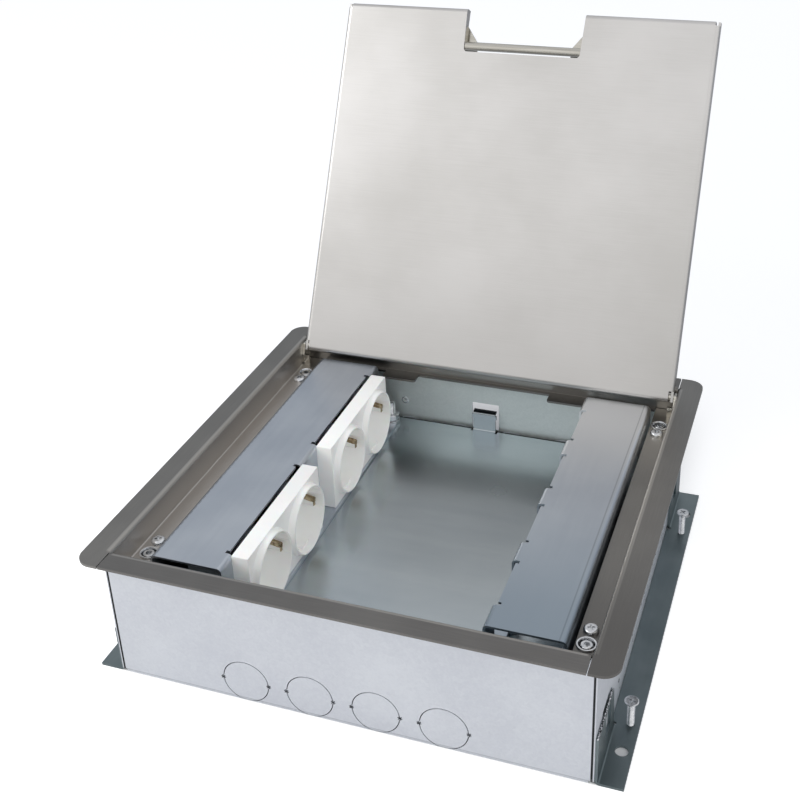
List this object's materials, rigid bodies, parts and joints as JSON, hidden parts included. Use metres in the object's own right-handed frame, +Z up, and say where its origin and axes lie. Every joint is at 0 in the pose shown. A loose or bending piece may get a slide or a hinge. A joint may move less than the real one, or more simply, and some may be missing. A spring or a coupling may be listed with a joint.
{
  "type": "floor socket box",
  "caption": "Sheet-metal floor box with a framed ledge, hinged tray lid with grip bar and cable notch, sockets in one carrier and module cut-outs in the other.",
  "frame": {"origin": "centre of the box's underside, on the floor", "axes": "+X right along the front wall, +Y to the hinge at the rear, +Z up"},
  "size_m": [0.2916, 0.3699, 0.2877],
  "materials": {
    "box_galvanised": "hot-dip galvanised sheet with a fine pale spangle",
    "carrier_galvanised": "smooth bluish galvanised sheet, semi-gloss",
    "floor_galvanised": "smooth galvanised sheet, glossy",
    "frame_stainless": "brushed stainless steel, dark reflection",
    "lid_stainless": "finely brushed stainless steel",
    "bright_steel": "drawn stainless steel, bright",
    "support_steel": "plain zinc-plated steel",
    "zinc_fastener": "bright zinc-plated fastener",
    "white_plastic": "pure white thermoplastic, glossy",
    "housing_plastic": "pale grey thermoplastic, matt",
    "earth_contact": "nickel-plated brass strip, slightly brown",
    "contact_brass": "plain brass strip"
  },
  "bodies": {
    "box": {"box_tray": "box_galvanised", "carrier_left": "carrier_galvanised", "carrier_right": "carrier_galvanised", "carrier_screws": "zinc_fastener", "clamp_screws": "zinc_fastener", "corner_supports": "support_steel", "earth_nut": "zinc_fastener", "earth_strap_a": "earth_contact", "earth_strap_b": "earth_contact", "earth_stud": "zinc_fastener", "floor_plate": "floor_galvanised", "frame_front": "frame_stainless", "frame_left": "frame_stainless", "frame_rear": "frame_stainless", "frame_right": "frame_stainless", "hinge_lugs": "support_steel", "ledge_inserts": "zinc_fastener", "ledge_spindles": "zinc_fastener", "neutral_bar_a": "contact_brass", "neutral_bar_b": "contact_brass", "phase_bar_a": "contact_brass", "phase_bar_b": "contact_brass", "pin_plate_a": "white_plastic", "pin_plate_b": "white_plastic", "side_bracket_left": "box_galvanised", "side_bracket_right": "box_galvanised", "socket_front_a": "white_plastic", "socket_front_b": "white_plastic", "socket_housing_a": "housing_plastic", "socket_housing_b": "housing_plastic", "terminal_screws": "zinc_fastener"},
    "lid": {"lid_tray": "lid_stainless", "grip_bar": "bright_steel", "grip_ears": "bright_steel", "hinge_pins": "bright_steel"},
    "levelling_screw_fl": {"levelling_screw_fl": "zinc_fastener"},
    "levelling_screw_fr": {"levelling_screw_fr": "zinc_fastener"},
    "levelling_screw_rl": {"levelling_screw_rl": "zinc_fastener"},
    "levelling_screw_rr": {"levelling_screw_rr": "zinc_fastener"}
  },
  "joints": [
    {"name": "lid_hinge", "type": "hinge", "parent": "box", "child": "lid", "pos_m": [0, 0.1185, 0.077], "axis": [1, 0, 0], "range_deg": [0, 118]},
    {"name": "levelling_screw_fl_travel", "type": "slide", "parent": "box", "child": "levelling_screw_fl", "axis": [0, 0, 1], "range_m": [-0.012, 0]},
    {"name": "levelling_screw_fr_travel", "type": "slide", "parent": "box", "child": "levelling_screw_fr", "axis": [0, 0, 1], "range_m": [-0.012, 0]},
    {"name": "levelling_screw_rl_travel", "type": "slide", "parent": "box", "child": "levelling_screw_rl", "axis": [0, 0, 1], "range_m": [-0.012, 0]},
    {"name": "levelling_screw_rr_travel", "type": "slide", "parent": "box", "child": "levelling_screw_rr", "axis": [0, 0, 1], "range_m": [-0.012, 0]}
  ]
}
